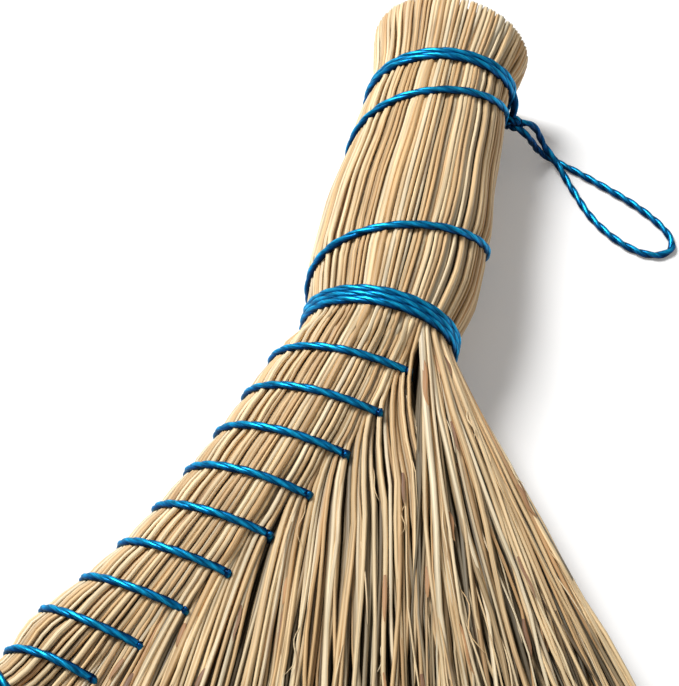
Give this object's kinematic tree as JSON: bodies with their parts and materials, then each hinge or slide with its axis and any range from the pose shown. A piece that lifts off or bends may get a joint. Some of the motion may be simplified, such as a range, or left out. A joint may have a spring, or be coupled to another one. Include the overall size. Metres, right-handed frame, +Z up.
{
  "type": "whisk broom",
  "caption": "Hand whisk broom of straw bundles: a round cord-bound handle, a curved stitched spine from which the brush fans out to one side, and a hanging loop.",
  "frame": {"origin": "centre of the broom's box in plan, measured without the hanging loop, on the surface that the broom lies on", "axes": "+Y along the handle towards the cut butt end, +Z up from the surface, +X to the side on which the brush fans out"},
  "size_m": [0.21, 0.2452, 0.04],
  "materials": {
    "straw": "dry straw stalks, satin",
    "straw_tips": "dry straw tips, matt",
    "blue_cord": "glossy twisted synthetic cord"
  },
  "bodies": {
    "broom": {"stalk_bundle_01": "straw", "stalk_bundle_02": "straw", "stalk_bundle_03": "straw", "stalk_bundle_04": "straw", "stalk_bundle_05": "straw", "stalk_bundle_06": "straw", "stalk_bundle_07": "straw", "stalk_bundle_08": "straw", "stalk_bundle_09": "straw", "stalk_bundle_10": "straw", "stalk_bundle_11": "straw", "stalk_bundle_12": "straw", "stalk_bundle_13": "straw", "brush_01": "straw_tips", "brush_02": "straw_tips", "brush_03": "straw_tips", "brush_04": "straw_tips", "brush_05": "straw_tips", "brush_06": "straw_tips", "brush_07": "straw_tips", "brush_08": "straw_tips", "brush_09": "straw_tips", "brush_10": "straw_tips", "brush_11": "straw_tips", "brush_12": "straw_tips", "brush_13": "straw_tips", "handle_winding": "blue_cord", "spine_stitching": "blue_cord", "loop_knot": "blue_cord"},
    "loop": {"hanging_loop": "blue_cord"}
  },
  "joints": [
    {"name": "loop_swing", "type": "hinge", "parent": "broom", "child": "loop", "pos_m": [0.00976, 0.10797, 0.0133], "axis": [0, 0, 1], "range_deg": [-60, 70]}
  ]
}
